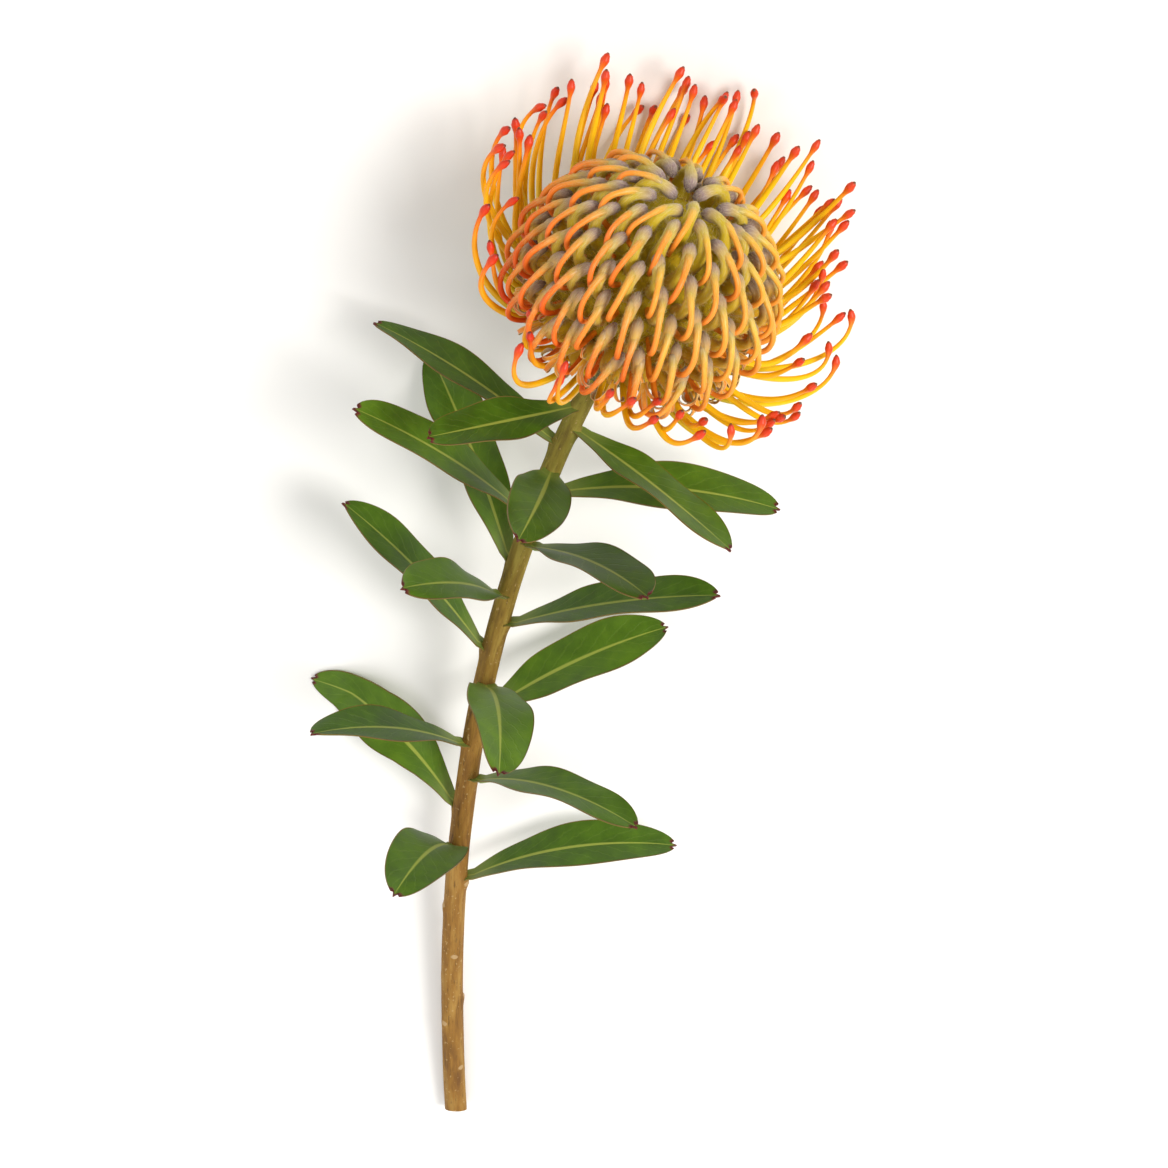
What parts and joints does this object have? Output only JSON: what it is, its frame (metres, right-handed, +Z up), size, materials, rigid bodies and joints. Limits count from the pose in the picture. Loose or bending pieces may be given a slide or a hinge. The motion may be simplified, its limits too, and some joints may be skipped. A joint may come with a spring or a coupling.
{
  "type": "pincushion protea",
  "caption": "Cut pincushion flower lying on its side: a domed head of looped florets ringed by long curved styles, on a leafy woody stem.",
  "frame": {"origin": "centre of the part's box in X and Y, on the surface that it lies on (z = 0)", "axes": "+Y along the stem from its cut end towards the bloom, +Z up, +X to the right of the bloom seen from above with the stem below it"},
  "size_m": [0.1581, 0.403, 0.1036],
  "materials": {
    "floret": "satin",
    "bract": "matte",
    "bark": "matte",
    "leaf": "satin"
  },
  "bodies": {
    "root": {"flower_head": "floret", "involucre": "bract", "stem": "bark", "leaf_01": "leaf", "leaf_02": "leaf", "leaf_03": "leaf", "leaf_04": "leaf", "leaf_05": "leaf", "leaf_06": "leaf", "leaf_07": "leaf", "leaf_08": "leaf", "leaf_09": "leaf", "leaf_10": "leaf", "leaf_11": "leaf", "leaf_12": "leaf", "leaf_13": "leaf", "leaf_14": "leaf", "leaf_15": "leaf", "leaf_16": "leaf", "leaf_17": "leaf", "leaf_18": "leaf"}
  },
  "joints": []
}
